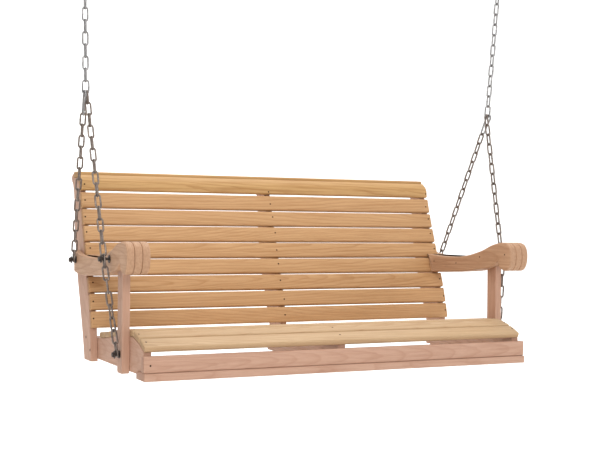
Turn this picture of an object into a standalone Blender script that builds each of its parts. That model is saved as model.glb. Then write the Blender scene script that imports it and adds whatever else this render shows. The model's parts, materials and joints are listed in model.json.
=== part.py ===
"""Porch swing: a slatted wooden bench for two that hangs from the ceiling on two chains.

World frame: metres, +Z up, origin on the ceiling midway between the two hangers, bench facing -Y.
The bench is laid out in its own frame: origin on the apron's lower front edge at mid length,
X to the right, Y to the back, Z up.  The chain lengths decide where that frame hangs.
"""
import math

import bmesh
import bpy
from mathutils import Matrix, Vector

X = Vector((1, 0, 0))

# ---------------------------------------------------------------- clearances
GAP = 0.0003                # air between neighbouring pieces
HOLE_CLEARANCE = 0.0003     # a bolt hole's radius beyond the shank's

# ---------------------------------------------------------------- boards
BOARD = 0.022               # pitch of the side layers: frame boards and arm laminations
SEAT_LENGTH = 1.2066        # over the outer faces of the two outer seat rails
SLAT_EDGE = 0.003           # easing on slat edges
BOARD_EDGE = 0.0015         # easing on the apron and the front strip

APRON_HEIGHT = 0.0445
APRON_REVEAL = 0.0063       # apron and front strip run this far past the rails at each end
STRIP_DEPTH = 0.0707
STRIP_THICKNESS = 0.0214
STRIP_LIP = 0.0047          # the front strip stands this far in front of the apron

SEAT_SLAT_WIDTH = 0.050
SEAT_SLAT_GAP = 0.006
SEAT_SLAT_THICKNESS = 0.018
SEAT_NOSE_SETBACK = 0.009   # first slat's top front edge, behind the apron's face
SEAT_NOSE_RISE = 0.0233     # and above the apron
SEAT_SLOPES = (23, 15, -1, -5, -7, -8, -8, -5)       # degrees each slat rises to the back

BACK_SLAT_WIDTH = 0.049
BACK_SLAT_GAP = 0.0053
BACK_SLAT_THICKNESS = 0.020
BACK_SLAT_COUNT = 8         # slats below the rolled top
BACK_RISE = 0.0114          # the slat fronts start this far above the seat's back edge
BACK_LEAN = 21.3            # degrees at mid height
BACK_LEAN_FALL = 7.5        # the lean eases off by this at either end

CREST_SET = (0.003, 0.003)  # the crest slat's lower front edge, past the end of the back's line
CREST_SLOPES = (83, 60, 35) # degrees, from its upright lip over to its sloping face
CREST_FACES = (0.0225, 0.015, 0.0264)
CAP_SET = (0.0065, 0.008)   # the cap slat's upper front edge, past the crest slat's
CAP_SLOPE = 2

RAIL_UNDERSIDE = -0.010
RAIL_TAIL = 0.072           # the rail runs this far past the last seat slat, beside the stile
STILE_TOE = 0.0081          # foot of the stile's front edge, behind the seat's back edge
STILE_FOOT = -0.0173
STILE_NIB = ((0.0018, 0.0133), (0.0113, 0.0108), (0.0193, 0.0043), (0.0217, -0.0017),
             (0.0157, -0.0117), (0.0042, -0.0205))   # round nib behind and over the cap's foot
STILE_WIDTHS = ((1.0, 0.064), (0.917, 0.067), (0.75, 0.090), (0.486, 0.105),
                (0.332, 0.101), (0.154, 0.088), (0.0, 0.073))   # share of the height, width

POST_FRONT = 0.1427
POST_WIDTH = 0.0463
POST_FOOT = -0.017
POST_CHAMFER = 0.006
POST_HEAD = 0.0135          # the post runs this far above the arm bolt

# ---------------------------------------------------------------- arms
ARM_HEIGHT = 0.2965         # top edge at mid length
ARM_FRONT = 0.033           # y of the scroll's foremost point
ARM_TAIL = 0.033            # the outer lamination runs this far behind the rear bolt
ARM_BUTT = 0.0008           # inner laminations stop this far in front of the back slats
ARM_TOP = ((0.995, 0.0170), (0.92, 0.0070), (0.841, 0.0015), (0.661, -0.0020), (0.481, 0.0010),
           (0.300, 0.0205), (0.185, 0.0415))         # share of the length, rise over mid height
SCROLL = ((0.050, 0.0500), (0.022, 0.0465), (0.006, 0.0335), (0.000, 0.0120),
          (0.003, -0.0140), (0.015, -0.0325), (0.034, -0.0385), (0.053, -0.0335),
          (0.066, -0.0220), (0.071, -0.0080))        # metres behind its front, rise
ARM_BELLY = ((0.166, -0.0215), (0.225, -0.0325), (0.344, -0.0410), (0.481, -0.0490),
             (0.733, -0.0570), (0.895, -0.0560), (0.985, -0.0500))
CURVE_STEPS = 3             # straight steps between two outline points

# ---------------------------------------------------------------- bolts
SHANK_RADIUS = 0.004
WASHER_RADIUS = 0.011
WASHER_THICKNESS = 0.002
HEAD_RADIUS = 0.0075
HEAD_THICKNESS = 0.006
ARM_STAND_OFF = 0.016       # the chain hangs this far out from the wood, on the bare shank
END_STAND_OFF = 0.007       # the same at the rear and seat bolts
ARM_SHANK = 0.024           # bare shank, from the wood to the washer under the head
END_SHANK = 0.0135
NUT_RADIUS = 0.0075
NUT_THICKNESS = 0.0065
THREAD_SHOWING = 0.003      # past the nut
BOLT_SIDES = 12
ARM_BOLT_Y = 0.195          # just behind the post, at the arm's mid height
REAR_BOLT_DROP = 0.0135     # under the arm's mid height
REAR_BOLT_INSET = 0.020     # behind the stile's front edge
ARM_BOLT_DEPTH = 0.060      # screwed into the three laminations
SEAT_BOLT_Z = 0.035         # low on the post, through it and into the rail
SEAT_BOLT_DEPTH = 0.038

# ---------------------------------------------------------------- chain
LINK_PITCH = 0.0341         # inner length of a link
LINK_WIDTH = 0.0195
WIRE = 0.0048
BITE = 0.0008               # how far the wires of one run press into each other
WIRE_SIDES = 5
BEND_STEPS = 3
FRONT_LINKS = 15            # arm bolt to knot link
REAR_LINKS = 14             # rear bolt to spring snap
UPPER_LINKS = 12            # knot link to top link
KNOT_WIDTH = 0.0230         # the knot link carries two wires side by side
KNOT_REACH = 0.0095         # middle of its lowest wire to the middle of the wires it carries
KNOT_STEPS = 6
TWIN_OFFSET = 0.0034        # the two wires lie this far either side of its middle
HANG_TILT = 4.46            # degrees the bench leans back, its weight straight under the knots
KNOT_SPREAD = 0.0227        # the knot is this far outside the arm bolt's link
BOLT_DOWN_LINK = 0.0110     # the arm bolt sits this far under the top of the link round it
HANGER_SPREAD = 0.018       # and the hanger this far outside the knot

SNAP_REACH = 0.0672         # inner length of the pear-shaped spring snap
SNAP_HEAD_RADIUS = 0.0115   # middle of the wire, at the knot
SNAP_FOOT_RADIUS = 0.0080   # and at the chain
SNAP_WIRE = 0.0058
SNAP_SIDES = 8
SNAP_STEPS = 6
GATE_STUB = 0.004           # of the body's wire, straight, above and below the gate
GATE_RADIUS = 0.0024

# ---------------------------------------------------------------- ceiling hanger
PLATE_LENGTH = 0.070
PLATE_WIDTH = 0.036
PLATE_THICKNESS = 0.004
PLATE_CORNER = 0.008
PLATE_HOLE_RADIUS = 0.0028
PLATE_HOLE_SPACING = 0.052
EYE_WIRE = 0.007
EYE_WIDTH = 0.028
EYE_DROP = 0.042            # ceiling to the middle of the eye's lowest wire
EYE_ROOT = 0.001            # the eye's ends are welded this deep into the plate

WOOD = {"slat": (0.62, 0.42, 0.22), "frame": (0.60, 0.43, 0.30), "arm": (0.61, 0.43, 0.27)}
STEEL = {"chain": (0.56, 0.56, 0.58), "bolt": (0.20, 0.20, 0.21), "snap": (0.66, 0.66, 0.67)}
SIDES = (("left", -1), ("right", 1))


# ================================================================ scene, materials, parenting
def clear_scene():
    for item in list(bpy.data.objects):
        bpy.data.objects.remove(item, do_unlink=True)


def material(name):
    """One Principled material for each family of pieces."""
    found = bpy.data.materials.get(name)
    if found:
        return found
    made = bpy.data.materials.new(name)
    made.use_nodes = True
    shader = made.node_tree.nodes["Principled BSDF"]
    steel = name in STEEL
    shader.inputs["Base Color"].default_value = (*(STEEL if steel else WOOD)[name], 1.0)
    shader.inputs["Roughness"].default_value = 0.35 if steel else 0.62
    shader.inputs["Metallic"].default_value = 1.0 if steel else 0.0
    return made


def empty(name, location, parent=None):
    made = bpy.data.objects.new(name, None)
    bpy.context.collection.objects.link(made)
    made.location = location
    made.parent = parent
    return made


def piece(name, shape, finish, parent, location=(0, 0, 0), tilt=0.0, smooth=False):
    """Turns a bmesh into a named object under its parent; tilt turns it about X."""
    mesh = bpy.data.meshes.new(name)
    bmesh.ops.recalc_face_normals(shape, faces=shape.faces)
    shape.to_mesh(mesh)
    shape.free()
    if smooth:
        mesh.shade_smooth()
        mesh.set_sharp_from_angle(angle=math.radians(50))
    mesh.materials.append(material(finish))
    made = bpy.data.objects.new(name, mesh)
    bpy.context.collection.objects.link(made)
    made.parent = parent
    made.location = location
    made.rotation_euler.x = tilt
    return made


def combine(target, helper, operation="DIFFERENCE"):
    """Cuts the hidden helper out of the target, or joins it on, by an exact Boolean."""
    helper.hide_render = True
    helper.display_type = "WIRE"
    boolean = target.modifiers.new(helper.name, "BOOLEAN")
    boolean.operation = operation
    boolean.solver = "EXACT"
    boolean.object = helper


def ease_edges(target, width):
    edge = target.modifiers.new("edges", "BEVEL")
    edge.width = width
    edge.segments = 1
    edge.limit_method = "ANGLE"
    edge.angle_limit = math.radians(40)


# ================================================================ shapes
def prism(outline, width):
    """A board: an outline in the YZ plane, given a width along X about its middle."""
    shape = bmesh.new()
    face = shape.faces.new([shape.verts.new((-width / 2, y, z)) for y, z in outline])
    grown = bmesh.ops.extrude_face_region(shape, geom=[face])
    moved = [item for item in grown["geom"] if isinstance(item, bmesh.types.BMVert)]
    bmesh.ops.translate(shape, verts=moved, vec=(width, 0, 0))
    return shape


def box(length, depth, height):
    shape = bmesh.new()
    bmesh.ops.create_cube(shape, size=1.0, matrix=Matrix.Diagonal((length, depth, height, 1)))
    return shape


def bridge(shape, near, far):
    count = len(near)
    for k in range(count):
        shape.faces.new((near[k], near[(k + 1) % count], far[(k + 1) % count], far[k]))


def turned(profile, sides=BOLT_SIDES, hollow=False):
    """A piece turned about X from (x, radius) corners; a hollow one closes on itself."""
    shape = bmesh.new()
    angles = [math.tau * (k + 0.5) / sides for k in range(sides)]
    rings = [[shape.verts.new((x, r * math.cos(a), r * math.sin(a))) for a in angles]
             for x, r in profile]
    for near, far in zip(rings, rings[1:] + (rings[:1] if hollow else [])):
        bridge(shape, near, far)
    if not hollow:
        shape.faces.new(rings[0])
        shape.faces.new(rings[-1])
    return shape


def sweep(shape, path, normal, radius, sides, closed):
    """Sweeps a round wire along a flat path of (point, outward) pairs.

    One corner of its section always points to the inside of the bend.
    """
    angles = [math.tau * k / sides for k in range(sides)]
    rings = [[shape.verts.new(point + radius * (normal * math.sin(a) - outward * math.cos(a)))
              for a in angles] for point, outward in path]
    for near, far in zip(rings, rings[1:] + (rings[:1] if closed else [])):
        bridge(shape, near, far)
    if not closed:
        shape.faces.new(rings[0])
        shape.faces.new(rings[-1])


def bend(centre, radius, start, quarter_on, steps):
    """Half a turn of a wire's path, from the direction start through quarter_on."""
    turns = [math.pi * k / steps for k in range(steps + 1)]
    outward = [start * math.cos(t) + quarter_on * math.sin(t) for t in turns]
    return [(centre + radius * out, out) for out in outward]


def smooth_line(points, steps=CURVE_STEPS):
    """A smooth curve through the points (Catmull-Rom), as a list of straight steps."""
    points = [Vector(p) for p in points]
    ends = [2 * points[0] - points[1]] + points + [2 * points[-1] - points[-2]]
    line = []
    for a, b, c, d in zip(ends, ends[1:], ends[2:], ends[3:]):
        for k in range(steps):
            t = k / steps
            line.append(0.5 * (2 * b + (c - a) * t + (2 * a - 5 * b + 4 * c - d) * t ** 2
                               + (3 * b - a - 3 * c + d) * t ** 3))
    return line + [points[-1]]


def direction(degrees):
    """Unit vector in the YZ plane, at an angle from +Y towards +Z."""
    turn = math.radians(degrees)
    return Vector((math.cos(turn), math.sin(turn)))


# ================================================================ layout of the bench (y, z)
def walk(start, slopes, step):
    """Corners of boards laid end to end, each rising at its own slope in degrees."""
    corners = [start]
    for slope in slopes:
        corners.append(corners[-1] + step * direction(slope))
    return corners


def shifted(corners, distance):
    """The same line moved sideways, to the right of its direction."""
    sides = [(b - a).normalized() for a, b in zip(corners, corners[1:])]
    line = []
    for corner, before, after in zip(corners, sides[:1] + sides, sides + sides[-1:]):
        middle = (before + after).normalized()
        line.append(corner + distance / middle.dot(before) * Vector((middle.y, -middle.x)))
    return line


def depth_at(line, height):
    """The y of a rising line at a height, carried on past its ends."""
    for low, high in zip(line, line[1:]):
        if height <= high.y:
            break
    return low.x + (high.x - low.x) * (height - low.y) / (high.y - low.y)


def height_at(line, depth):
    """The z of a line that runs to the back, at a depth, carried on past its ends."""
    return depth_at([Vector((p.y, p.x)) for p in line], depth)


FRAME_HALF = SEAT_LENGTH / 2
THICKNESS = BOARD - GAP                              # of every frame board
SEAT_LINE = walk(Vector((SEAT_NOSE_SETBACK, APRON_HEIGHT + SEAT_NOSE_RISE)), SEAT_SLOPES,
                 SEAT_SLAT_WIDTH + SEAT_SLAT_GAP)
BACK_SLOPES = [90 - BACK_LEAN + BACK_LEAN_FALL * (2 * k / BACK_SLAT_COUNT - 1) ** 2
               for k in range(BACK_SLAT_COUNT)]
BACK_LINE = walk(SEAT_LINE[-1] + Vector((0, BACK_RISE)), BACK_SLOPES,
                 BACK_SLAT_WIDTH + BACK_SLAT_GAP)
STILE_LINE = ([Vector((SEAT_LINE[-1].x + STILE_TOE, STILE_FOOT))]
              + shifted(BACK_LINE, BACK_SLAT_THICKNESS + GAP))
CREST_LINE = [BACK_LINE[-1] + Vector(CREST_SET)]
for slope, face in zip(CREST_SLOPES, CREST_FACES):
    CREST_LINE.append(CREST_LINE[-1] + face * direction(slope))
CAP_LINE = walk(CREST_LINE[-1] + Vector(CAP_SET), (CAP_SLOPE,), BACK_SLAT_WIDTH)

ARM_BOLT = Vector((ARM_BOLT_Y, ARM_HEIGHT))
REAR_BOLT_Z = ARM_HEIGHT - REAR_BOLT_DROP
REAR_BOLT = Vector((depth_at(STILE_LINE, REAR_BOLT_Z) + REAR_BOLT_INSET, REAR_BOLT_Z))
SEAT_BOLT = Vector((POST_FRONT + POST_WIDTH / 2, SEAT_BOLT_Z))
ARM_LENGTH = REAR_BOLT.x + ARM_TAIL - ARM_FRONT

POST_FACE = FRAME_HALF + BOARD                       # outer faces that the bolts enter, in x
ARM_FACE = FRAME_HALF + 2 * BOARD
KNOT_X = ARM_FACE + ARM_STAND_OFF + KNOT_SPREAD
HANGER_X = KNOT_X + HANGER_SPREAD


def layer(number):
    """Middle of a side layer: 0 rails, 1 posts and stiles, 2 outer arm laminations."""
    return FRAME_HALF + (number - 0.5) * BOARD


# ================================================================ where the bench hangs
def knot_point():
    """The chain legs' lengths from the arm and rear bolts fix the knot's y and z."""
    front = (FRONT_LINKS - 1) * LINK_PITCH + BOLT_DOWN_LINK - (KNOT_REACH - WIRE / 2 - GAP / 2)
    rear = (REAR_LINKS * LINK_PITCH + SNAP_REACH + GAP
            - (SHANK_RADIUS + GAP / 2) - (KNOT_REACH - SNAP_WIRE / 2))
    base = REAR_BOLT - ARM_BOLT
    along = (front ** 2 - rear ** 2 + base.length_squared) / (2 * base.length)
    rise = math.sqrt(front ** 2 - along ** 2)
    base.normalize()
    return ARM_BOLT + along * base + rise * Vector((-base.y, base.x))


KNOT = knot_point()
UPPER_LENGTH = WIRE / 2 + (UPPER_LINKS + 2) * LINK_PITCH - EYE_WIRE / 2
KNOT_DROP = math.sqrt(UPPER_LENGTH ** 2 - HANGER_SPREAD ** 2)


# ================================================================ wooden pieces
def make_slats(bench):
    """Slats of the seat and the back, the angled crest slat and the flat cap behind it."""
    seat = (SEAT_LENGTH - GAP, SEAT_SLAT_WIDTH, SEAT_SLAT_THICKNESS)
    back = (SEAT_LENGTH + 2 * BOARD - GAP, BACK_SLAT_WIDTH, BACK_SLAT_THICKNESS)
    names = [(f"seat_slat_{k + 1}", seat) for k in range(len(SEAT_SLOPES))]
    names += [(f"back_slat_{k + 1}", back) for k in range(BACK_SLAT_COUNT)] + [("cap_slat", back)]
    spans = [span for line in (SEAT_LINE, BACK_LINE, CAP_LINE) for span in zip(line, line[1:])]
    for (name, size), (low, high) in zip(names, spans):
        run = (high - low).normalized()
        middle = (low + high) / 2 + size[2] / 2 * Vector((run.y, -run.x))
        slat = piece(name, box(*size), "slat", bench, (0, *middle), tilt=math.atan2(run.y, run.x))
        ease_edges(slat, SLAT_EDGE)
    profile = CREST_LINE + shifted(CREST_LINE, BACK_SLAT_THICKNESS)[::-1]
    crest = piece("crest_slat", prism(profile, back[0]), "slat", bench)
    ease_edges(crest, SLAT_EDGE)


def make_apron(bench):
    length = SEAT_LENGTH + 2 * APRON_REVEAL
    apron = piece("apron", box(length, THICKNESS, APRON_HEIGHT - GAP), "frame", bench,
                  (0, THICKNESS / 2, (APRON_HEIGHT + GAP) / 2))
    strip = piece("front_strip", box(length, STRIP_DEPTH, STRIP_THICKNESS), "frame", bench,
                  (0, STRIP_DEPTH / 2 - STRIP_LIP, -STRIP_THICKNESS / 2))
    ease_edges(apron, BOARD_EDGE)
    ease_edges(strip, BOARD_EDGE)


def rail_outline():
    """Bears every seat slat on top; its underside steps up over the front strip."""
    bearing = shifted(SEAT_LINE, SEAT_SLAT_THICKNESS + GAP)
    top = [p for p in bearing if p.x > BOARD]
    tail = SEAT_LINE[-1].x + RAIL_TAIL
    step = STRIP_DEPTH - STRIP_LIP + GAP
    return ([Vector((BOARD, height_at(bearing, BOARD)))] + top
            + [Vector((tail, top[-1].y)), Vector((tail, RAIL_UNDERSIDE)),
               Vector((step, RAIL_UNDERSIDE)), Vector((step, GAP)), Vector((BOARD, GAP))])


def stile_outline():
    """Bears the back slats on its front edge, crest and cap on its head; a nib ends it."""
    bearing = BACK_SLAT_THICKNESS + GAP
    head = shifted(CREST_LINE, bearing)
    cap = shifted(CAP_LINE, bearing)
    head += [Vector((head[-1].x + GAP, height_at(cap, head[-1].x + GAP))),
             cap[-1] + Vector((GAP, 0))]
    nib = [head[-1] + Vector(step) for step in STILE_NIB]
    height = BACK_LINE[-1].y - STILE_FOOT
    back = []
    for share, width in STILE_WIDTHS:
        z = STILE_FOOT + share * height
        back.append(Vector((depth_at(STILE_LINE, z) + width, z)))
    return STILE_LINE + head + nib + smooth_line(back)


def post_outline():
    top = ARM_BOLT.y + POST_HEAD
    back = POST_FRONT + POST_WIDTH
    return [(POST_FRONT, top), (POST_FRONT, POST_FOOT + POST_CHAMFER),
            (POST_FRONT + POST_CHAMFER, POST_FOOT), (back - POST_CHAMFER, POST_FOOT),
            (back, POST_FOOT + POST_CHAMFER), (back, top)]


def arm_outline():
    """S-shaped arm: dipped top, round scroll in front, full belly behind it."""
    def at(share, rise):
        return (ARM_FRONT + share * ARM_LENGTH, ARM_HEIGHT + rise)
    scroll = [(ARM_FRONT + y, ARM_HEIGHT + rise) for y, rise in SCROLL]
    top = smooth_line([at(*point) for point in ARM_TOP] + scroll)
    belly = smooth_line([scroll[-1]] + [at(*point) for point in ARM_BELLY])
    return top + belly[1:]


def make_frame(bench):
    """Rails, stiles, posts and the three laminations of each arm."""
    rail, stile, arm = rail_outline(), stile_outline(), arm_outline()
    piece("seat_rail_centre", prism(rail, THICKNESS), "frame", bench, (-BOARD / 2, 0, 0))
    piece("back_stile_centre", prism(stile, THICKNESS), "frame", bench, (BOARD / 2, 0, 0))
    reach = 2 * SEAT_LENGTH
    front = shifted(BACK_LINE, -ARM_BUTT)
    behind = front + [Vector((reach, front[-1].y)), Vector((reach, front[0].y))]
    back_space = piece("back_space", prism(behind, reach), "frame", bench)
    for side, s in SIDES:
        seat_rail = piece(f"seat_rail_{side}", prism(rail, THICKNESS), "frame", bench,
                          (s * layer(0), 0, 0))
        back_stile = piece(f"back_stile_{side}", prism(stile, THICKNESS), "frame", bench,
                           (s * layer(1), 0, 0))
        post = piece(f"arm_post_{side}", prism(post_outline(), THICKNESS), "frame", bench,
                     (s * layer(1), 0, 0))
        arms = [piece(f"arm_{name}_{side}", prism(arm, THICKNESS), "arm", bench,
                      (s * layer(number), 0, 0))
                for number, name in enumerate(("inner", "middle", "outer"))]
        combine(arms[0], back_space)
        combine(arms[1], back_space)
        notch = piece(f"post_notch_{side}",
                      box(2 * BOARD, POST_WIDTH + 2 * GAP, 2 * (POST_HEAD + GAP) + ARM_HEIGHT),
                      "frame", bench,
                      (s * layer(1), POST_FRONT + POST_WIDTH / 2, ARM_BOLT.y - ARM_HEIGHT / 2))
        combine(arms[1], notch)
        drill(bench, s, f"arm_bolt_hole_{side}", ARM_BOLT, ARM_FACE, ARM_BOLT_DEPTH + GAP, arms)
        drill(bench, s, f"rear_bolt_hole_{side}", REAR_BOLT, ARM_FACE, 3 * BOARD,
              (back_stile, arms[2]))
        drill(bench, s, f"seat_bolt_hole_{side}", SEAT_BOLT, POST_FACE, SEAT_BOLT_DEPTH + GAP,
              (post, seat_rail))


def drill(bench, s, name, centre, face, depth, boards):
    """Sinks one bolt hole through a stack of boards, from the outer face inwards."""
    radius = SHANK_RADIUS + HOLE_CLEARANCE
    bit = turned(mirrored([(-depth, radius), (BOARD / 2, radius)], s))
    hole = piece(name, bit, "bolt", bench, (s * face, *centre))
    for board in boards:
        combine(board, hole)


# ================================================================ bolts and nuts
def mirrored(profile, s):
    return [(s * x, radius) for x, radius in profile]


def bolt_profile(depth, bare):
    """Shank from its inner end, washer against the wood, bare shank, washer, head."""
    head = bare + WASHER_THICKNESS
    return [(-depth, SHANK_RADIUS), (GAP, SHANK_RADIUS), (GAP, WASHER_RADIUS),
            (GAP + WASHER_THICKNESS, WASHER_RADIUS), (GAP + WASHER_THICKNESS, SHANK_RADIUS),
            (bare, SHANK_RADIUS), (bare, WASHER_RADIUS), (head, WASHER_RADIUS),
            (head, HEAD_RADIUS), (head + HEAD_THICKNESS, HEAD_RADIUS)]


def make_bolts(bench):
    through = 2 * BOARD + NUT_THICKNESS + THREAD_SHOWING
    bolts = (("arm_bolt", ARM_FACE, ARM_BOLT, ARM_BOLT_DEPTH, ARM_SHANK),
             ("rear_bolt", ARM_FACE, REAR_BOLT, through, END_SHANK),
             ("seat_bolt", POST_FACE, SEAT_BOLT, SEAT_BOLT_DEPTH, END_SHANK))
    for side, s in SIDES:
        for name, face, centre, depth, bare in bolts:
            piece(f"{name}_{side}", turned(mirrored(bolt_profile(depth, bare), s)), "bolt", bench,
                  (s * face, *centre), smooth=True)
        bore = SHANK_RADIUS + HOLE_CLEARANCE
        ring = [(0, bore), (0, NUT_RADIUS), (-NUT_THICKNESS, NUT_RADIUS), (-NUT_THICKNESS, bore)]
        piece(f"rear_nut_{side}", turned(mirrored(ring, s), hollow=True), "bolt", bench,
              (s * FRAME_HALF, *REAR_BOLT), smooth=True)


# ================================================================ chain
def link_axes(run, roll):
    """Across and normal of a link; at roll 0 it lies across the bench, at 90 fore and aft."""
    across = (X - X.dot(run) * run).normalized()
    turn = Matrix.Rotation(math.radians(roll), 3, run)
    across = turn @ across
    return across, run.cross(across)


def add_link(shape, start, stop, roll, width=LINK_WIDTH, sides=WIRE_SIDES, steps=BEND_STEPS):
    """One welded link; start and stop are the inner faces of its two ends."""
    run = (stop - start).normalized()
    across, normal = link_axes(run, roll)
    radius = (width - WIRE) / 2
    bulge = radius * (1 if steps % 2 == 0 else math.cos(math.pi / (2 * steps)))
    near = start + (bulge - WIRE / 2) * run
    far = stop - (bulge - WIRE / 2) * run
    path = bend(far, radius, across, run, steps) + bend(near, radius, -across, -run, steps)
    sweep(shape, path, normal, WIRE / 2, sides, closed=True)


def rolls(count, first, last):
    """Link rolls along a run: about a quarter turn each, ending on the wanted one."""
    steps = max(count - 1, 1)
    half_turns = round((90 * steps - (last - first)) / 180)
    step = (last - first + 180 * half_turns) / steps
    return [first + k * step for k in range(count)]


def chain_run(name, parent, start, stop, first_roll, last_roll):
    """A taut run of links as one piece: every second link is joined on to the others."""
    count = max(2, round((stop - start).length / LINK_PITCH))
    step = (stop - start) / count
    run = step.normalized()
    shapes = (bmesh.new(), bmesh.new())
    for k, roll in enumerate(rolls(count, first_roll, last_roll)):
        low = -GAP / 2 if k == 0 else BITE / 2
        high = -GAP / 2 if k == count - 1 else BITE / 2
        add_link(shapes[k % 2], start + k * step + low * run,
                 start + (k + 1) * step - high * run, roll)
    links = piece(name, shapes[0], "chain", parent, smooth=True)
    combine(links, piece(f"{name}_others", shapes[1], "chain", parent, smooth=True), "UNION")


def single_link(name, parent, start, stop, roll, **sizes):
    shape = bmesh.new()
    add_link(shape, start, stop, roll, **sizes)
    piece(name, shape, "chain", parent, smooth=True)


def make_hanging_chain(swing_axis, side, s):
    """Knot link, upper run and top link; places are taken from the eye's lowest wire."""
    eye = Vector((s * HANGER_X, 0, 0))
    knot = Vector((s * KNOT_X, 0, -KNOT_DROP))
    up = (eye - knot).normalized()
    top = eye + (EYE_WIRE + GAP) / 2 * up
    foot = top - LINK_PITCH * up
    head = foot - UPPER_LINKS * LINK_PITCH * up
    single_link(f"top_link_{side}", swing_axis, foot - GAP / 2 * up, top + GAP / 2 * up, 90)
    chain_run(f"upper_chain_{side}", swing_axis, head, foot, 90, 0)
    single_link(f"knot_link_{side}", swing_axis, knot + WIRE / 2 * up, head + GAP / 2 * up, 0,
                width=KNOT_WIDTH, sides=SNAP_SIDES, steps=KNOT_STEPS)


def make_legs(bench, side, s):
    """Chain from the seat bolt over the arm bolt to the knot, and from the rear bolt to it."""
    inner_knot = Vector((s * (KNOT_X - TWIN_OFFSET), *KNOT))
    outer_knot = Vector((s * (KNOT_X + TWIN_OFFSET), *KNOT))
    arm = Vector((s * (ARM_FACE + ARM_STAND_OFF), *ARM_BOLT))
    rear = Vector((s * (ARM_FACE + END_STAND_OFF), *REAR_BOLT))
    seat = Vector((s * (POST_FACE + END_STAND_OFF), *SEAT_BOLT))

    up = (inner_knot - arm).normalized()
    foot = arm - (LINK_PITCH - BOLT_DOWN_LINK) * up
    chain_run(f"front_chain_{side}", bench, foot,
              inner_knot + (KNOT_REACH - WIRE / 2 - GAP / 2) * up, 90, 90)
    low = (foot - seat).normalized()
    chain_run(f"seat_chain_{side}", bench, seat - (SHANK_RADIUS + GAP / 2) * low, foot, 90, 0)

    back = (outer_knot - rear).normalized()
    snap_top = outer_knot + (KNOT_REACH - SNAP_WIRE / 2) * back
    snap_foot = snap_top - SNAP_REACH * back
    chain_run(f"rear_chain_{side}", bench, rear - (SHANK_RADIUS + GAP / 2) * back,
              snap_foot - GAP / 2 * back, 90, 0)
    make_snap(bench, side, snap_foot, snap_top)


def make_snap(bench, side, foot, top):
    """Spring snap: a bent wire body, wider at the knot, and a straight gate on its front."""
    run = (top - foot).normalized()
    front = Vector((0, -run.z, run.y)).normalized()
    shift = SNAP_HEAD_RADIUS - SNAP_FOOT_RADIUS      # so that the spine runs straight
    inner = SNAP_HEAD_RADIUS - SNAP_WIRE / 2
    near = foot + (SNAP_FOOT_RADIUS - SNAP_WIRE / 2) * run
    far = top - math.sqrt(inner ** 2 - shift ** 2) * run + shift * front
    low, high = near + SNAP_FOOT_RADIUS * front, far + SNAP_HEAD_RADIUS * front
    slant = (high - low).normalized()
    root, tip = low + GATE_STUB * slant, high - GATE_STUB * slant
    path = ([(tip, front)] + bend(far, SNAP_HEAD_RADIUS, front, run, SNAP_STEPS)
            + bend(near, SNAP_FOOT_RADIUS, -front, -run, SNAP_STEPS) + [(root, front)])
    shape = bmesh.new()
    sweep(shape, path, front.cross(run), SNAP_WIRE / 2, SNAP_SIDES, closed=False)
    piece(f"snap_body_{side}", shape, "snap", bench, smooth=True)

    length = (tip - root).length - 2 * GAP - GATE_RADIUS
    ball = [(-GATE_RADIUS * math.cos(t), GATE_RADIUS * math.sin(t))
            for t in (math.radians(25), math.radians(55))]
    gate = turned(ball + [(0, GATE_RADIUS), (length, GATE_RADIUS)], SNAP_SIDES)
    bmesh.ops.rotate(gate, verts=gate.verts, matrix=X.rotation_difference(slant).to_matrix())
    pivot = root + (GAP + GATE_RADIUS) * slant
    piece(f"snap_gate_{side}", gate, "snap", bench, pivot, smooth=True)


# ================================================================ ceiling hangers
def make_hanger(side, s):
    """Screw-on plate with a welded wire eye under it."""
    shape = box(PLATE_LENGTH, PLATE_WIDTH, PLATE_THICKNESS)
    upright = [edge for edge in shape.edges
               if abs(edge.verts[0].co.z - edge.verts[1].co.z) > PLATE_THICKNESS / 2]
    bmesh.ops.bevel(shape, geom=upright, offset=PLATE_CORNER, segments=3, profile=0.5,
                    affect="EDGES")
    hanger = piece(f"ceiling_hanger_{side}", shape, "snap", None,
                   (s * HANGER_X, 0, -PLATE_THICKNESS / 2))
    radius = (EYE_WIDTH - EYE_WIRE) / 2
    down = Vector((0, 0, -1))
    centre = (EYE_DROP - PLATE_THICKNESS / 2 - radius) * down
    root = (PLATE_THICKNESS / 2 - EYE_ROOT) * down
    path = ([(root + radius * X, X)] + bend(centre, radius, X, down, SNAP_STEPS)
            + [(root - radius * X, -X)])
    eye_shape = bmesh.new()
    sweep(eye_shape, path, X.cross(down), EYE_WIRE / 2, SNAP_SIDES, closed=False)
    eye = piece(f"eye_{side}", eye_shape, "snap", None, hanger.location, smooth=True)
    combine(hanger, eye, "UNION")
    for end in (-1, 1):
        hole = piece(f"plate_hole_{side}_{end}",
                     turned([(-PLATE_WIDTH, PLATE_HOLE_RADIUS), (PLATE_WIDTH, PLATE_HOLE_RADIUS)]),
                     "snap", None, (s * HANGER_X + end * PLATE_HOLE_SPACING / 2, 0, 0))
        hole.rotation_euler.y = math.pi / 2
        combine(hanger, hole)


def main():
    clear_scene()
    swing_axis = empty("swing_axis", (0, 0, -EYE_DROP))
    tilt_axis = empty("bench_tilt_axis", (0, 0, -KNOT_DROP), swing_axis)
    tilt_axis.rotation_euler.x = -math.radians(HANG_TILT)
    bench = empty("bench_origin", (0, -KNOT.x, -KNOT.y), tilt_axis)
    make_slats(bench)
    make_apron(bench)
    make_frame(bench)
    make_bolts(bench)
    for side, s in SIDES:
        make_hanger(side, s)
        make_hanging_chain(swing_axis, side, s)
        make_legs(bench, side, s)


main()
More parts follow.
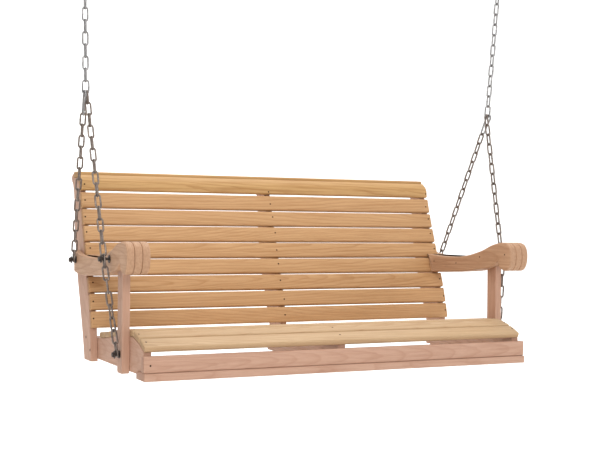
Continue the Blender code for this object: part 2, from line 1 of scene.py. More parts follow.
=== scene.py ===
"""Porch swing: finishes, smooth chain, bolts, nails, studio light and camera round the CAD frame.

Metres, +Z up, origin on the ceiling between the hangers, bench facing -Y.  Places on the bench are
given in the bench's own frame (origin on the apron's lower front edge at mid length) and carried
over by BENCH, which leans back with the hanging bench.
"""
import json
import math
import random

import bmesh
import bpy
from mathutils import Matrix, Vector


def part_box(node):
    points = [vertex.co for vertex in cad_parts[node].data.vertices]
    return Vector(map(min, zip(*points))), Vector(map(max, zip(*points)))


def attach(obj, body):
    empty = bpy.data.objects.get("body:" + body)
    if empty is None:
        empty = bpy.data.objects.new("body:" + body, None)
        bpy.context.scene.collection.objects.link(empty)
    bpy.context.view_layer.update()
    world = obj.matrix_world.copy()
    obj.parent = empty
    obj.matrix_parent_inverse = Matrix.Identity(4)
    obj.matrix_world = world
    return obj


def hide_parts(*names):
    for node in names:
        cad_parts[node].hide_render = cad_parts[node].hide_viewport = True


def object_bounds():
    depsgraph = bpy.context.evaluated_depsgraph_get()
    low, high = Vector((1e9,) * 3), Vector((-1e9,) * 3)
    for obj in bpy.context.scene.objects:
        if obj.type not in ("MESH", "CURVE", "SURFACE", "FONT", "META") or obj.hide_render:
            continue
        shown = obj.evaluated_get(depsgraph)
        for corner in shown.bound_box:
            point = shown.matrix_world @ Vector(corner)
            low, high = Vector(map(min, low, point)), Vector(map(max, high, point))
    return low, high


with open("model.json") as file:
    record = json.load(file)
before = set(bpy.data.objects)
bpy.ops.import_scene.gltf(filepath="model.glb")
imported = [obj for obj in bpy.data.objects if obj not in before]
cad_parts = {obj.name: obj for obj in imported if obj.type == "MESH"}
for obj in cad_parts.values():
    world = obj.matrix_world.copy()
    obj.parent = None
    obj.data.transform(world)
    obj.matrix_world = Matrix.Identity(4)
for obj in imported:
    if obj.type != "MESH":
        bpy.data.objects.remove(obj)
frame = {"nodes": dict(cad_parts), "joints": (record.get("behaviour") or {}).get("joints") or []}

CAD_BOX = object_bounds()
NODES = frame["nodes"]
X, Y, Z = Vector((1, 0, 0)), Vector((0, 1, 0)), Vector((0, 0, 1))
SIDES = (("left", -1), ("right", 1))

# ---------------------------------------------------------------- the bench's place
JOINTS = {joint["name"]: joint for joint in frame["joints"]}
KNOT_WORLD = Vector(JOINTS["bench_tilt"]["pos_m"])
KNOT = Vector((0.3180, 0.7620))          # y, z of the knots in the bench's frame
HANG_TILT = 4.46                         # degrees the bench leans back
BENCH = (Matrix.Translation(KNOT_WORLD) @ Matrix.Rotation(math.radians(-HANG_TILT), 4, "X")
         @ Matrix.Translation((0, -KNOT.x, -KNOT.y)))

# ---------------------------------------------------------------- sizes shared with the CAD
GAP = 0.0003
BOARD = 0.022
FRAME_HALF = 0.6033                      # outer faces of the outer rails
RAIL_X = FRAME_HALF - BOARD / 2
STILE_X = FRAME_HALF + BOARD / 2
ARM_FACE = FRAME_HALF + 2 * BOARD
POST_FACE = FRAME_HALF + BOARD
ARM_BOLT = Vector((0.195, 0.2965))
REAR_BOLT = Vector((0.5544, 0.2830))
SEAT_BOLT = Vector((0.16585, 0.035))
ARM_STAND_OFF = 0.016
END_STAND_OFF = 0.007
ARM_SHANK = 0.024
END_SHANK = 0.0135
BOLT_DOWN_LINK = 0.011
KNOT_X = 0.686
HANGER_X = 0.704
EYE_DROP = 0.042
EYE_WIRE = 0.007
LINK_PITCH = 0.0341
LINK_WIDTH = 0.0195
WIRE = 0.0048
THICK = 1.12                             # the finished wire's swell over the drawing's
KNOT_WIDTH = 0.0230
KNOT_REACH = 0.0095
TWIN_OFFSET = 0.0034
UPPER_LINKS = 12
SHANK_RADIUS = 0.004
HOLE_SIDE = 0.0026                       # longest side of a faceted bolt hole
WASHER_RADIUS = 0.011
WASHER_THICKNESS = 0.002
WASHER_EASE = 0.0004
HEAD_RADIUS = 0.00755                    # over the corners of the hexagon
HEAD_THICKNESS = 0.006
THREAD_CORE = 0.0036
THREAD_CREST = 0.0040
THREAD_PITCH = 0.00125
NAIL_RADIUS = 0.0026
STILE_SCREW_RADIUS = 0.0042
ARM_NAIL_RADIUS = 0.0024
SNAP_REACH = 0.0672
SNAP_HEAD_RADIUS = 0.0115
SNAP_FOOT_RADIUS = 0.0080
SNAP_WIRE = 0.0058
GATE_STUB = 0.004
PLATE_THICKNESS = 0.004
ARM_EASING = 0.0042                      # laminations are rounded before they are joined
STILE_SCREWS = ((0.512, 0.051), (0.466, 0.0165))         # y, z on the bench
ARM_NAILS = ((0.474, 0.276), (0.338, 0.274), (0.201, 0.298), (0.065, 0.309))
APRON_NAIL = (-0.591, 0.0, 0.0206)
PLATE_HOLE_SPACING = 0.052


# ================================================================ materials
NORMAL_OUT, OBJECT_OUT = 1, 3            # outputs of the texture coordinate node


def linear(red, green, blue):
    """A screen colour, 0 to 255, as scene-linear values."""
    return [((c / 255 + 0.055) / 1.055) ** 2.4 if c > 10 else c / 3295 for c in (red, green, blue)]


class Nodes:
    """Short way to write a node tree: every call adds a node and returns an output socket."""

    def __init__(self, name):
        self.material = bpy.data.materials.new(name)
        self.material.use_nodes = True
        self.tree = self.material.node_tree
        self.shader = self.tree.nodes["Principled BSDF"]

    def feed(self, value, socket):
        if isinstance(value, bpy.types.NodeSocket):
            self.tree.links.new(value, socket)
        elif value is not None:
            socket.default_value = value

    def add(self, kind, *inputs, out=0, **settings):
        node = self.tree.nodes.new(kind)
        for key, value in settings.items():
            setattr(node, key, value)
        for index, value in enumerate(inputs):
            self.feed(value, node.inputs[index])
        return node.outputs[out]

    def math(self, operation, a, b=None, c=None):
        return self.add("ShaderNodeMath", a, b, c, operation=operation)

    def move(self, vector, location=(0, 0, 0), rotation=(0, 0, 0), scale=(1, 1, 1)):
        return self.add("ShaderNodeMapping", vector, location, rotation, scale)

    def noise(self, vector, scale, detail=3.0, roughness=0.55):
        node = self.tree.nodes.new("ShaderNodeTexNoise")
        self.feed(vector, node.inputs["Vector"])
        node.inputs["Scale"].default_value = scale
        node.inputs["Detail"].default_value = detail
        node.inputs["Roughness"].default_value = roughness
        return node.outputs["Fac"]

    def ramp(self, value, *stops):
        node = self.tree.nodes.new("ShaderNodeValToRGB")
        self.feed(value, node.inputs[0])
        band = node.color_ramp
        while len(band.elements) < len(stops):
            band.elements.new(1.0)
        for element, (place, level) in zip(band.elements, stops):
            element.position = place
            colour = level if isinstance(level, (tuple, list)) else (level,) * 3
            element.color = (*colour, 1.0)
        return node.outputs["Color"]

    def mix(self, factor, a, b, blend="MIX"):
        node = self.tree.nodes.new("ShaderNodeMix")
        node.data_type = "RGBA"
        node.blend_type = blend
        self.feed(factor, node.inputs["Factor"])
        for value, socket in ((a, node.inputs[6]), (b, node.inputs[7])):
            self.feed((*value, 1.0) if isinstance(value, (tuple, list)) else value, socket)
        return node.outputs[2]

    def scale(self, value, low, high):
        """A 0 to 1 value spread from low to high."""
        return self.add("ShaderNodeMapRange", value, 0.0, 1.0, low, high)

    def bump(self, height, distance, strength=1.0, normal=None):
        node = self.tree.nodes.new("ShaderNodeBump")
        node.inputs["Strength"].default_value = strength
        node.inputs["Distance"].default_value = distance
        self.feed(height, node.inputs["Height"])
        self.feed(normal, node.inputs["Normal"])
        return node.outputs["Normal"]

    def surface(self, **inputs):
        for name, value in inputs.items():
            socket = self.shader.inputs[name.replace("_", " ")]
            self.feed((*value, 1.0) if isinstance(value, (tuple, list)) else value, socket)
        return self.material


def wood(name, centre, grain, face, tone, seed, ring=0.0042, contrast=1.0, ends=1.0):
    """Flat-sawn softwood board: growth rings round a heart below its face, streaks and pores.

    grain runs along the board and face is the normal of its broad side; tone is a pair of
    colours, the wood between the rings and the rings themselves.
    """
    dice = random.Random(seed)
    grain, face = grain.normalized(), face.normalized()
    axes = Matrix((grain, face.cross(grain), face))
    heart = Vector((dice.uniform(-0.4, 0.4), dice.uniform(-0.030, 0.030),
                    dice.uniform(0.035, 0.095)))
    tilt = Matrix.Rotation(math.radians(dice.uniform(0.5, 2.4) * dice.choice((-1, 1))), 3, "Y")
    turn = tilt @ axes
    n = Nodes(name)
    spot = n.add("ShaderNodeTexCoord", out=OBJECT_OUT)
    board = n.move(spot, turn @ -centre + heart, turn.to_euler())

    drift = n.noise(n.move(board, scale=(0.10, 1, 1)), 7 + 3 * dice.random(), 1.5)
    wobble = n.noise(n.move(board, scale=(0.5, 1, 1)), 26, 2.0)
    parts = n.add("ShaderNodeSeparateXYZ", board)
    across, deep = parts.node.outputs[1], parts.node.outputs[2]
    square = n.math("ADD", n.math("MULTIPLY", across, across), n.math("MULTIPLY", deep, deep))
    radius = n.math("ADD", n.math("SQRT", square),
                    n.math("ADD", n.scale(drift, -0.020, 0.020), n.scale(wobble, -0.0022, 0.0022)))
    turns = n.math("DIVIDE", radius, ring)
    rings = n.ramp(n.math("FRACT", turns), (0.0, 0.10), (0.30, 0.02), (0.62, 0.22), (0.90, 0.95),
                   (1.0, 0.15))
    streaks = n.noise(n.move(board, scale=(0.030, 1, 1)), 150, 4.0)
    pores = n.noise(n.move(board, scale=(0.016, 1, 1)), 900, 2.0)
    patches = n.noise(n.move(board, scale=(0.25, 1, 1)), 9, 2.0)

    light, dark = tone
    colour = n.mix(n.math("MULTIPLY", rings, 0.50 * contrast), light, dark)
    colour = n.mix(n.ramp(streaks, (0.42, 0.0), (0.75, 0.55 * contrast)), colour, dark)
    normal = n.add("ShaderNodeTexCoord", out=NORMAL_OUT)
    facing = n.add("ShaderNodeVectorMath", normal, tuple(grain), operation="DOT_PRODUCT", out=1)
    along = n.ramp(n.math("ABSOLUTE", facing), (0.25, 1.0), (0.6, 0.25))
    colour = n.mix(n.math("MULTIPLY", along, n.ramp(pores, (0.56, 0.0), (0.80, 0.45))), colour,
                   [0.62 * c for c in dark])
    colour = n.mix(n.ramp(patches, (0.35, 0.22), (0.70, 0.0)), colour,
                   [min(1.0, 1.18 * c) for c in light])

    end = n.ramp(n.math("ABSOLUTE", facing), (0.72, 0.0), (0.92, 0.42 * ends))
    colour = n.mix(end, colour, [0.72 * c for c in dark])

    flat = n.math("SUBTRACT", 1.0, n.ramp(n.math("ABSOLUTE", facing), (0.25, 0.0), (0.6, 1.0)))
    height = n.math("MULTIPLY", flat, n.math("ADD", n.math("MULTIPLY", rings, 0.5),
                                             n.math("MULTIPLY", pores, 0.8)))
    return n.surface(Base_Color=colour, Roughness=n.scale(streaks, 0.50, 0.70),
                     Normal=n.bump(height, 0.00025), Specular_IOR_Level=0.35)


def steel(name, tint, rough, grime=0.0, stain=(0.10, 0.055, 0.030)):
    """Plated or bare steel: uneven plating, fine pits and, with grime, brown stains."""
    n = Nodes(name)
    spot = n.add("ShaderNodeTexCoord", out=OBJECT_OUT)
    cloud = n.noise(spot, 95, 4.0)
    pits = n.noise(spot, 900, 2.0)
    stains = n.ramp(n.noise(spot, 60, 5.0, 0.7), (0.62 - 0.30 * grime, 0.0), (0.78, 1.0))
    dull = n.mix(n.ramp(cloud, (0.35, 0.0), (0.70, 0.6)), tint, [0.62 * c for c in tint])
    colour = n.mix(n.math("MULTIPLY", stains, grime), dull, stain)
    return n.surface(Base_Color=colour, Metallic=n.scale(n.math("MULTIPLY", stains, grime), 1, 0.35),
                     Roughness=n.scale(cloud, rough, rough + 0.22),
                     Normal=n.bump(pits, 0.00006, 0.6))


SLAT_TONE = (linear(196, 154, 110), linear(158, 110, 64))
CREST_TONE = (linear(194, 154, 102), linear(148, 100, 48))
SEAT_TONE = (linear(192, 162, 126), linear(160, 122, 84))
FRAME_TONE = (linear(188, 150, 128), linear(160, 116, 92))
ARM_TONE = (linear(188, 150, 120), linear(150, 108, 78))

CHAIN_STEEL = steel("zinc_chain", linear(170, 168, 168), 0.24, 0.55, linear(52, 44, 40))
LEG_STEEL = steel("worn_chain", linear(152, 140, 132), 0.30, 0.85, linear(62, 42, 32))
SNAP_STEEL = steel("nickel_snap", linear(160, 158, 158), 0.26, 0.40, linear(70, 60, 52))
BOLT_STEEL = steel("dark_bolt", linear(84, 76, 72), 0.42, 0.8, linear(56, 40, 30))
NAIL_STEEL = steel("nail_head", linear(74, 54, 40), 0.55, 0.9, linear(58, 38, 26))


# ================================================================ helpers
def add_piece(name, mesh, material, body):
    mesh.materials.clear()
    mesh.materials.append(material)
    made = bpy.data.objects.new(name, mesh)
    bpy.context.scene.collection.objects.link(made)
    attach(made, body)
    return made


def repaint(node, material):
    """Gives a CAD node that the scene keeps its finish."""
    NODES[node].data.materials.clear()
    NODES[node].data.materials.append(material)


def to_mesh(name, shape, place=None, sharp=40):
    """Turns a bmesh into a smooth mesh; place moves it, sharp is the angle that stays crisp."""
    if place is not None:
        bmesh.ops.transform(shape, matrix=place, verts=shape.verts)
    bmesh.ops.recalc_face_normals(shape, faces=shape.faces)
    mesh = bpy.data.meshes.new(name)
    shape.to_mesh(mesh)
    shape.free()
    mesh.shade_smooth()
    mesh.set_sharp_from_angle(angle=math.radians(sharp))
    return mesh


def bench_way(x, y, z):
    return BENCH.to_3x3() @ Vector((x, y, z))


# ================================================================ wood
def eased(node, width, segments=2, corner=35):
    """A board's mesh with its sharp edges sanded round, but not the rims of its bolt holes."""
    shape = bmesh.new()
    shape.from_mesh(NODES[node].data)
    bmesh.ops.remove_doubles(shape, verts=shape.verts, dist=1e-5)
    bmesh.ops.dissolve_limit(shape, angle_limit=math.radians(0.8), verts=shape.verts,
                             edges=shape.edges)
    edges = [edge for edge in shape.edges if len(edge.link_faces) == 2
             and edge.calc_face_angle() > math.radians(corner) and edge.calc_length() > HOLE_SIDE]
    bmesh.ops.bevel(shape, geom=edges, offset=width, segments=segments, profile=0.5,
                    affect="EDGES", clamp_overlap=width < ARM_EASING)
    return to_mesh(f"{node}_eased", shape, sharp=24)


def make_board(node, grain, face, tone, seed, width=0.0012, **look):
    low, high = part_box(node)
    centre = (Vector(low) + Vector(high)) / 2
    made = add_piece(f"{node}_wood", eased(node, width),
                     wood(f"{node}_grain", centre, grain, face, tone, seed, **look), "bench")
    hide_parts(node)


def make_wood():
    for k in range(1, 9):
        make_board(f"seat_slat_{k}", X, Z, SEAT_TONE, 20 + k, 0.0016)
        make_board(f"back_slat_{k}", X, -Y, SLAT_TONE, 40 + k, 0.0016,
                   ring=0.0034 + 0.0009 * (k % 3), contrast=1.3 if k in (3, 5) else 1.0)
    make_board("crest_slat", X, -Y, CREST_TONE, 61, 0.003, ring=0.0055, contrast=1.2)
    make_board("cap_slat", X, Z, CREST_TONE, 62, 0.003)
    make_board("apron", X, -Y, FRAME_TONE, 71)
    make_board("front_strip", X, -Y, FRAME_TONE, 72)
    for seed, where in enumerate(("left", "centre", "right"), 80):
        make_board(f"seat_rail_{where}", bench_way(0, 1, 0), X, FRAME_TONE, seed)
        make_board(f"back_stile_{where}", bench_way(0, 0.36, 0.93), X, FRAME_TONE, seed + 10)
    for seed, (side, s) in enumerate(SIDES, 100):
        make_board(f"arm_post_{side}", bench_way(0, 0, 1), s * X, FRAME_TONE, seed)
        for step, layer in enumerate(("inner", "middle", "outer"), 1):
            make_board(f"arm_{layer}_{side}", bench_way(0, 1, 0), s * X, ARM_TONE,
                       seed + 10 * step, ARM_EASING, ends=0.35)


# ================================================================ chain
def bend(centre, radius, start, quarter_on, steps):
    """Half a turn of a wire's path, from the direction start through quarter_on."""
    turns = [math.pi * k / steps for k in range(steps + 1)]
    outward = [start * math.cos(t) + quarter_on * math.sin(t) for t in turns]
    return [(centre + radius * out, out, 1.0) for out in outward]


def sweep(shape, path, normal, radius, sides, closed):
    """Sweeps a round wire along a flat path of (point, outward, swelling)."""
    angles = [math.tau * k / sides for k in range(sides)]
    rings = [[shape.verts.new(point + swell * radius
                              * (normal * math.sin(a) - outward * math.cos(a)))
              for a in angles] for point, outward, swell in path]
    for near, far in zip(rings, rings[1:] + (rings[:1] if closed else [])):
        for k in range(sides):
            shape.faces.new((near[k], near[(k + 1) % sides], far[(k + 1) % sides], far[k]))
    if not closed:
        shape.faces.new(rings[0])
        shape.faces.new(rings[-1])


def link_axes(run, roll):
    across = (X - X.dot(run) * run).normalized()
    across = Matrix.Rotation(math.radians(roll), 3, run) @ across
    return across, run.cross(across)


def add_link(shape, start, stop, roll, width=LINK_WIDTH):
    """One link: two half turns, two straight sides and the weld swelling on one of them."""
    run = (stop - start).normalized()
    across, normal = link_axes(run, roll)
    radius = (width - WIRE) / 2
    near = start + (radius - WIRE / 2) * run
    far = stop - (radius - WIRE / 2) * run
    weld = [((near + far) / 2 + radius * across + step * run, across, swell)
            for step, swell in ((-0.0022, 1.0), (-0.0010, 1.14), (0.0010, 1.14), (0.0022, 1.0))]
    path = bend(far, radius, across, run, 10) + bend(near, radius, -across, -run, 10) + weld
    sweep(shape, path, normal, THICK * WIRE / 2, 12, closed=True)


def rolls(count, first, last):
    """Link rolls along a run: about a quarter turn each, ending on the wanted one."""
    steps = max(count - 1, 1)
    half_turns = round((90 * steps - (last - first)) / 180)
    step = (last - first + 180 * half_turns) / steps
    return [first + k * step for k in range(count)]


def make_run(node, body, material, start, stop, first_roll, last_roll, place=None):
    """The separate links of one taut run of chain, each hanging in the next."""
    count = max(2, round((stop - start).length / LINK_PITCH))
    step = (stop - start) / count
    shape = bmesh.new()
    for k, roll in enumerate(rolls(count, first_roll, last_roll)):
        add_link(shape, start + k * step, start + (k + 1) * step, roll)
    made = add_piece(f"{node}_links", to_mesh(node, shape, place, 60), material, body)
    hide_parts(node)


def make_chains():
    for side, s in SIDES:
        make_upper_chain(side, s)
        make_legs(side, s)


def make_upper_chain(side, s):
    """Top link, upper chain and knot link, on the line from the hanger's eye to the knot."""
    eye = Vector((s * HANGER_X, 0, -EYE_DROP))
    knot = Vector((s * KNOT_X, 0, KNOT_WORLD.z))
    up = (eye - knot).normalized()
    top = eye + (EYE_WIRE + GAP) / 2 * up
    foot = top - LINK_PITCH * up
    head = foot - UPPER_LINKS * LINK_PITCH * up
    make_run(f"upper_chain_{side}", "hanging_chains", CHAIN_STEEL, head, foot, 90, 0)
    for node, start, stop, roll, width in (
            (f"top_link_{side}", foot - GAP / 2 * up, top + GAP / 2 * up, 90, LINK_WIDTH),
            (f"knot_link_{side}", knot + WIRE / 2 * up, head + GAP / 2 * up, 0, KNOT_WIDTH)):
        shape = bmesh.new()
        add_link(shape, start, stop, roll, width)
        link = add_piece(f"{node}_smooth", to_mesh(node, shape, None, 60), CHAIN_STEEL,
                         "hanging_chains")
        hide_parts(node)


def make_legs(side, s):
    """Front, seat and rear chains and the snap, from the bolts up to the knot."""
    inner = Vector((s * (KNOT_X - TWIN_OFFSET), *KNOT))
    outer = Vector((s * (KNOT_X + TWIN_OFFSET), *KNOT))
    arm = Vector((s * (ARM_FACE + ARM_STAND_OFF), *ARM_BOLT))
    rear = Vector((s * (ARM_FACE + END_STAND_OFF), *REAR_BOLT))
    seat = Vector((s * (POST_FACE + END_STAND_OFF), *SEAT_BOLT))
    up = (inner - arm).normalized()
    foot = arm - (LINK_PITCH - BOLT_DOWN_LINK) * up
    make_run(f"front_chain_{side}", "bench", LEG_STEEL, foot,
             inner + (KNOT_REACH - WIRE / 2 - GAP / 2) * up, 90, 90, BENCH)
    low = (foot - seat).normalized()
    make_run(f"seat_chain_{side}", "bench", LEG_STEEL,
             seat - (SHANK_RADIUS + GAP / 2) * low, foot, 90, 0, BENCH)
    back = (outer - rear).normalized()
    snap_top = outer + (KNOT_REACH - SNAP_WIRE / 2) * back
    snap_foot = snap_top - SNAP_REACH * back
    make_run(f"rear_chain_{side}", "bench", LEG_STEEL,
             rear - (SHANK_RADIUS + GAP / 2) * back, snap_foot - GAP / 2 * back, 90, 0, BENCH)
    make_snap(side, snap_foot, snap_top)


def make_snap(side, foot, top):
    """Spring snap: bent wire body with a notched nose, wider at the knot, and its gate."""
    run = (top - foot).normalized()
    front = Vector((0, -run.z, run.y)).normalized()
    shift = SNAP_HEAD_RADIUS - SNAP_FOOT_RADIUS
    inner = SNAP_HEAD_RADIUS - SNAP_WIRE / 2
    near = foot + (SNAP_FOOT_RADIUS - SNAP_WIRE / 2) * run
    far = top - math.sqrt(inner ** 2 - shift ** 2) * run + shift * front
    low, high = near + SNAP_FOOT_RADIUS * front, far + SNAP_HEAD_RADIUS * front
    slant = (high - low).normalized()
    root, tip = low + GATE_STUB * slant, high - GATE_STUB * slant
    nose = [(tip, front, 0.92), (tip + 0.0006 * slant, front, 1.0)]
    heel = [(root - 0.0006 * slant, front, 1.0), (root, front, 0.92)]
    path = (nose + bend(far, SNAP_HEAD_RADIUS, front, run, 14)
            + bend(near, SNAP_FOOT_RADIUS, -front, -run, 14) + heel)
    shape = bmesh.new()
    sweep(shape, path, front.cross(run), SNAP_WIRE / 2, 16, closed=False)
    body = add_piece(f"snap_wire_{side}", to_mesh("snap_wire", shape, BENCH, 60), SNAP_STEEL,
                     "bench")
    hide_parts(f"snap_body_{side}")
    repaint(f"snap_gate_{side}", SNAP_STEEL)


# ================================================================ bolts, nails, screws
def turn_profile(shape, profile, sides, centre, along):
    """A solid of revolution about along, through centre, from (distance, radius) corners."""
    across = along.orthogonal().normalized()
    other = along.cross(across)
    rings = [[shape.verts.new(centre + d * along + r * (across * math.cos(t) + other * math.sin(t)))
              for t in (math.tau * k / sides for k in range(sides))] for d, r in profile]
    for near, far in zip(rings, rings[1:]):
        for k in range(sides):
            shape.faces.new((near[k], near[(k + 1) % sides], far[(k + 1) % sides], far[k]))
    shape.faces.new(rings[0])
    shape.faces.new(rings[-1])


def threaded(low, high):
    """Zigzag profile that reads as a screw thread."""
    count = int((high - low) / THREAD_PITCH)
    return [(low + (k + 0.5 * half) * THREAD_PITCH, THREAD_CREST if half else THREAD_CORE)
            for k in range(count) for half in (0, 1)] + [(high, THREAD_CORE)]


def bolt_tail(kind, depth):
    """The buried end: a threaded tip for the nut, or a lag screw's point."""
    if kind == "rear_bolt":
        return ([(-depth, 0.0030), (-depth + 0.001, 0.0038)]
                + threaded(-depth + 0.001, -depth + 0.012))
    return [(-depth, 0.0005), (-depth + 0.008, 0.0038)]


def make_bolts():
    """Per bolt: shank, one washer at the wood, one at the outer end, and a hexagon head."""
    washer = [(0, SHANK_RADIUS), (0, WASHER_RADIUS - 0.0003), (WASHER_EASE, WASHER_RADIUS),
              (WASHER_THICKNESS - WASHER_EASE, WASHER_RADIUS),
              (WASHER_THICKNESS, WASHER_RADIUS - WASHER_EASE), (WASHER_THICKNESS, SHANK_RADIUS)]
    head = [(0, HEAD_RADIUS - 0.00015), (0.0002, HEAD_RADIUS), (HEAD_THICKNESS - 0.0008, HEAD_RADIUS),
            (HEAD_THICKNESS, 0.0066)]
    kinds = (("arm_bolt", ARM_FACE, ARM_SHANK), ("rear_bolt", ARM_FACE, END_SHANK),
             ("seat_bolt", POST_FACE, END_SHANK))
    for side, s in SIDES:
        for kind, face, bare in kinds:
            node = f"{kind}_{side}"
            low, high = (Vector(corner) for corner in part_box(node))
            depth = face - min(abs(low.x), abs(high.x))
            axis = (low + high) / 2
            wood_face = Vector((s * face, axis.y, axis.z))
            shape = bmesh.new()
            shank = bolt_tail(kind, depth) + [(-0.004, SHANK_RADIUS), (bare, SHANK_RADIUS)]
            turn_profile(shape, shank, 24, wood_face, s * X)
            for start in (GAP, bare):
                turn_profile(shape, [(start + d, r) for d, r in washer], 32, wood_face, s * X)
            turn_profile(shape, [(bare + WASHER_THICKNESS + d, r) for d, r in head], 6, wood_face,
                         s * X)
            made = add_piece(f"{node}_hex", to_mesh(node, shape, None, 30), BOLT_STEEL, "bench")
            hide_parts(node)
        repaint(f"rear_nut_{side}", BOLT_STEEL)


def add_nail(shape, place, outward, radius=NAIL_RADIUS, proud=0.0004):
    """A nail: flat head with a rounded rim, and enough shank to hold it in the board."""
    profile = [(-0.012, 0.0004), (-0.010, 0.0012), (-0.0006, 0.0012), (-0.0005, radius * 0.9),
               (proud * 0.5, radius), (proud, radius * 0.8)]
    turn_profile(shape, profile, 12, place, outward)


def broad_face(node):
    """Middle and normal of a slat's broad outer face."""
    mesh = NODES[node].data
    want = Z if node.startswith(("seat", "cap")) else -Y
    broad = max(mesh.polygons, key=lambda face: face.area * max(0, face.normal.dot(want)) ** 4)
    way = broad.normal.copy()
    same = [face for face in mesh.polygons if face.normal.dot(way) > 0.9999]
    area = sum(face.area for face in same)
    return sum((face.center * face.area for face in same), Vector()) / area, way


def make_nails():
    """One nail through every slat into every rail or stile, and the nails and screws that show."""
    dice = random.Random(5)
    shape = bmesh.new()
    seat_rails = (-RAIL_X, -BOARD / 2, RAIL_X)
    back_stiles = (-STILE_X, BOARD / 2, STILE_X)
    rows = [(f"seat_slat_{k}", seat_rails) for k in range(1, 9)]
    rows += [(f"back_slat_{k}", back_stiles) for k in range(1, 9)]
    rows += [("crest_slat", back_stiles), ("cap_slat", back_stiles)]
    for node, places in rows:
        middle, way = broad_face(node)
        run = way.cross(X)
        for x in places:
            spot = Vector((x + dice.uniform(-0.004, 0.004), middle.y, middle.z))
            add_nail(shape, spot + dice.uniform(-0.006, 0.006) * run, way)
    for s in (-1, 1):
        stile, arm = s * (STILE_X + BOARD / 2), s * (FRAME_HALF - BOARD)
        fixings = [(stile, y, z, s, STILE_SCREW_RADIUS) for y, z in STILE_SCREWS]
        fixings += [(arm, y, z, -s, ARM_NAIL_RADIUS) for y, z in ARM_NAILS]
        for x, y, z, way, radius in fixings:
            add_nail(shape, BENCH @ Vector((x, y, z)), way * X, radius)
        add_plate_screws(shape, s)
    add_nail(shape, BENCH @ Vector(APRON_NAIL), bench_way(0, -1, 0))
    add_piece("slat_nails", to_mesh("slat_nails", shape, None, 40), NAIL_STEEL, "bench")


def add_plate_screws(shape, s):
    """Heads of the two screws in one hanger plate; they share the nails' piece."""
    for step in (-0.5, 0.5):
        plate = Vector((s * HANGER_X + step * PLATE_HOLE_SPACING, 0, -PLATE_THICKNESS))
        turn_profile(shape, [(-0.004, 0.0022), (0.0, 0.0046), (0.0008, 0.0046), (0.0022, 0.0026)],
                     16, plate, -Z)


make_wood()
make_chains()
make_bolts()
make_nails()
for side, _ in SIDES:
    repaint(f"ceiling_hanger_{side}", SNAP_STEEL)


# ================================================================ studio
FLOOR_DROP = 0.42                        # from the swing's lowest point to the floor
SWEEP_HALF_WIDTH = 14.0
SWEEP_FRONT, SWEEP_BACK = -9.0, 6.0      # ends of the flat floor
SWEEP_CURVE = 3.0                        # radius of the rise behind it
SWEEP_TOP = 9.0
SWEEP_STEPS = 12
SWEEP_TURN = -25.6                       # degrees, square to the camera
CAMERA_BEARING, CAMERA_PITCH, CAMERA_ROLL = 25.65, -0.017, 0.57      # degrees
CAMERA_PLACE = (-1.5588, -2.9155, 0.3963)                            # on the bench's frame
CAMERA_LENS, CAMERA_SENSOR = 69.5, 36                                # mm


def make_studio():
    floor_z = CAD_BOX[0].z - FLOOR_DROP
    n = Nodes("studio_white")
    cloud = n.noise(n.add("ShaderNodeTexCoord", out=OBJECT_OUT), 0.6, 2.0)
    n.surface(Base_Color=n.mix(cloud, (0.93, 0.93, 0.925), (0.96, 0.96, 0.955)), Roughness=0.9)
    shape = bmesh.new()
    rows = []
    turns = (math.radians(90 * k / SWEEP_STEPS) for k in range(1, SWEEP_STEPS + 1))
    profile = [(SWEEP_FRONT, 0.0), (SWEEP_BACK, 0.0)]
    profile += [(SWEEP_BACK + SWEEP_CURVE * math.sin(a), SWEEP_CURVE - SWEEP_CURVE * math.cos(a))
                for a in turns]
    profile += [(SWEEP_BACK + SWEEP_CURVE, SWEEP_TOP)]
    for y, z in profile:
        rows.append([shape.verts.new((x, y, floor_z + z))
                     for x in (-SWEEP_HALF_WIDTH, SWEEP_HALF_WIDTH)])
    for near, far in zip(rows, rows[1:]):
        shape.faces.new((near[0], near[1], far[1], far[0]))
    mesh = to_mesh("studio_sweep", shape, None, 60)
    mesh.materials.append(n.material)
    sweep_sheet = bpy.data.objects.new("studio_sweep", mesh)
    sweep_sheet.rotation_euler.z = math.radians(SWEEP_TURN)
    bpy.context.scene.collection.objects.link(sweep_sheet)


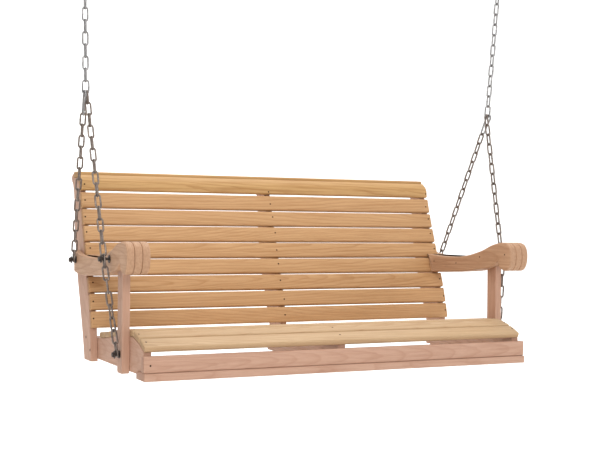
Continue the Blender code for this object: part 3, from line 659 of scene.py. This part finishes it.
def add_area(name, place, target, size, power, colour=(1, 1, 1)):
    data = bpy.data.lights.new(name, "AREA")
    data.shape = "RECTANGLE"
    data.size, data.size_y = size
    data.energy = power
    data.color = colour
    lamp = bpy.data.objects.new(name, data)
    lamp.location = place
    lamp.rotation_euler = (Vector(target) - Vector(place)).to_track_quat("-Z", "Y").to_euler()
    bpy.context.scene.collection.objects.link(lamp)


def make_lights():
    world = bpy.data.worlds.new("studio")
    world.use_nodes = True
    world.node_tree.nodes["Background"].inputs["Color"].default_value = (1.0, 1.0, 1.0, 1.0)
    world.node_tree.nodes["Background"].inputs["Strength"].default_value = 0.62
    bpy.context.scene.world = world
    middle = (0, 0, -1.0)
    add_area("key", (-1.8, -3.4, 1.2), middle, (2.4, 1.8), 80, (1.0, 0.985, 0.96))
    add_area("fill", (3.2, -2.6, -0.2), middle, (2.0, 2.0), 30, (0.97, 0.985, 1.0))
    add_area("top", (0.0, 0.6, 2.2), middle, (3.0, 2.0), 60)
    add_area("sweep_wash", (0.0, 4.0, 3.0), (1.5, 7.0, -1.5), (6.0, 3.0), 420)


def make_camera():
    """Stands left of the bench, level with its middle, as in a catalogue view."""
    bearing, pitch, roll = (math.radians(a)
                            for a in (CAMERA_BEARING, CAMERA_PITCH, CAMERA_ROLL))
    ahead = Vector((math.sin(bearing) * math.cos(pitch), math.cos(bearing) * math.cos(pitch),
                    math.sin(pitch)))
    level = Vector((math.cos(bearing), -math.sin(bearing), 0))
    upright = level.cross(ahead)
    right = level * math.cos(roll) + upright * math.sin(roll)
    up = -level * math.sin(roll) + upright * math.cos(roll)
    stance = Matrix((right, up, -ahead)).transposed().to_4x4()
    data = bpy.data.cameras.new("camera")
    data.lens = CAMERA_LENS
    data.sensor_width = CAMERA_SENSOR
    camera = bpy.data.objects.new("camera", data)
    camera.matrix_world = BENCH @ Matrix.Translation(CAMERA_PLACE) @ stance
    bpy.context.scene.collection.objects.link(camera)
    bpy.context.scene.camera = camera


make_studio()
make_lights()
make_camera()
bpy.context.scene.view_settings.view_transform = "Standard"
